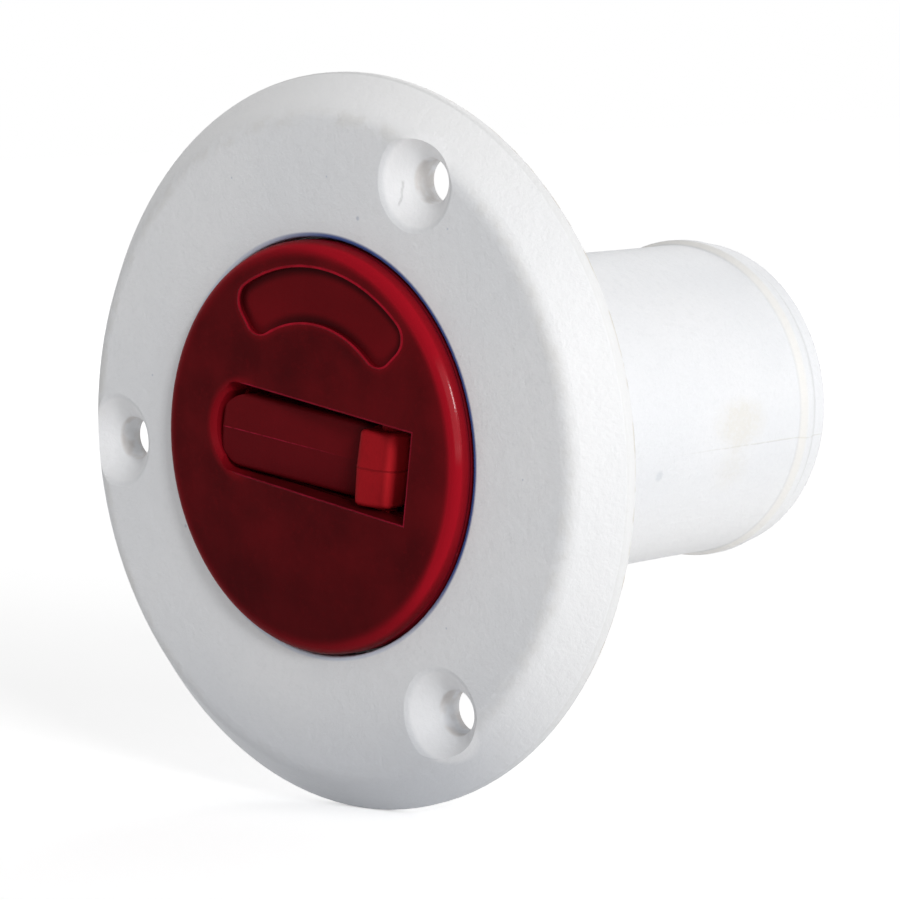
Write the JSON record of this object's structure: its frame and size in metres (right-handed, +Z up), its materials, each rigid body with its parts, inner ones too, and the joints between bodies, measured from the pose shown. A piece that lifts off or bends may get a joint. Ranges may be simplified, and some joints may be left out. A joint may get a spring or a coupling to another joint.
{
  "type": "deck filler",
  "caption": "Round screw-down deck flange with a straight hose spigot behind it, closed by a flush screw cap with a fold-flat lever key and an empty label recess.",
  "frame": {"origin": "centre of the circle of three screw holes, in the flange's back face, which seats on the deck", "axes": "+Y along the hose spigot, away from the deck's outside; the cap's face looks along -Y; +Z is up as the part stands on its edge, with one screw hole on the -X side"},
  "size_m": [0.083, 0.0695, 0.083],
  "materials": {
    "white_nylon": "moulded white glass-filled nylon with a fine, slightly matte skin",
    "red_nylon": "moulded deep red nylon, satin on the cap's face",
    "nitrile_rubber": "black moulded O-ring, lightly greased",
    "stainless_steel": "plain stainless steel, bright drawn"
  },
  "bodies": {
    "neck": {"flange_body": "white_nylon"},
    "tether": {"swivel_tag": "stainless_steel", "tether_ring": "stainless_steel"},
    "cap": {"screw_cap": "red_nylon", "pivot_pin_upper": "red_nylon", "pivot_pin_lower": "red_nylon", "cap_seal": "nitrile_rubber", "tether_screw": "stainless_steel"},
    "lever": {"lever_key": "red_nylon"}
  },
  "joints": [
    {"name": "cap_lift", "type": "slide", "parent": "neck", "child": "tether", "axis": [0, -1, 0], "range_m": [0, 0.0121]},
    {"name": "cap_unscrew", "type": "hinge", "parent": "tether", "child": "cap", "pos_m": [0, 0, 0], "axis": [0, -1, 0], "range_deg": [0, 1440]},
    {"name": "lever_flip", "type": "hinge", "parent": "cap", "child": "lever", "pos_m": [0.00874, -0.0033, -0.0017], "axis": [0.1908, 0, 0.9816], "range_deg": [0, 105]}
  ],
  "couplings": [
    {"joint": "cap_lift", "follows": "cap_unscrew", "m_per_rad": 0.00047746}
  ]
}
